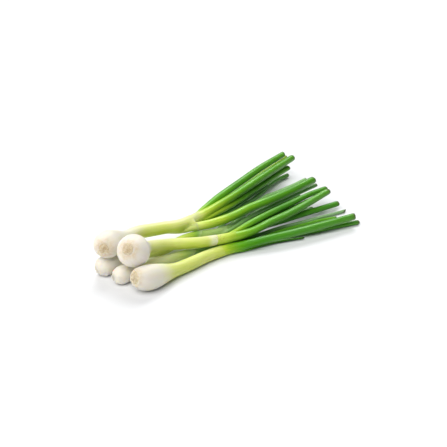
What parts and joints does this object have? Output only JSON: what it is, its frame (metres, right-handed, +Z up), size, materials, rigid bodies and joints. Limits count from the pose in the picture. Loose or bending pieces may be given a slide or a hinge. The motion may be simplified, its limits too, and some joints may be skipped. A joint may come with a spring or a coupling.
{
  "type": "spring onion bunch",
  "caption": "Bunch of trimmed bulb spring onions lying on a table: white bulbs with root plates, pale stems and hollow green leaves cut straight at the tips.",
  "frame": {"origin": "on the table, under the middle of the bunch's bounding box", "axes": "+X along the bunch from the bulbs to the cut leaf tips, +Z up from the table, +Y to the left of +X"},
  "size_m": [0.314, 0.1526, 0.0495],
  "materials": {
    "bulb": "satin",
    "roots": "matte",
    "leaf": "satin"
  },
  "bodies": {
    "root": {"front_onion_bulb": "bulb", "front_onion_roots": "roots", "front_onion_leaf_1": "leaf", "front_onion_leaf_2": "leaf", "front_onion_leaf_3": "leaf", "front_onion_leaf_4": "leaf", "top_onion_bulb": "bulb", "top_onion_roots": "roots", "top_onion_leaf_1": "leaf", "top_onion_leaf_2": "leaf", "top_onion_leaf_3": "leaf", "small_onion_bulb": "bulb", "small_onion_roots": "roots", "small_onion_leaf_1": "leaf", "small_onion_leaf_2": "leaf", "small_onion_leaf_3": "leaf", "low_onion_bulb": "bulb", "low_onion_roots": "roots", "low_onion_leaf_1": "leaf", "low_onion_leaf_2": "leaf", "low_onion_leaf_3": "leaf", "low_onion_leaf_4": "leaf", "rear_onion_bulb": "bulb", "rear_onion_roots": "roots", "rear_onion_leaf_1": "leaf", "rear_onion_leaf_2": "leaf", "rear_onion_leaf_3": "leaf", "rear_onion_leaf_4": "leaf", "rear_onion_leaf_5": "leaf", "rear_onion_leaf_6": "leaf"}
  },
  "joints": []
}
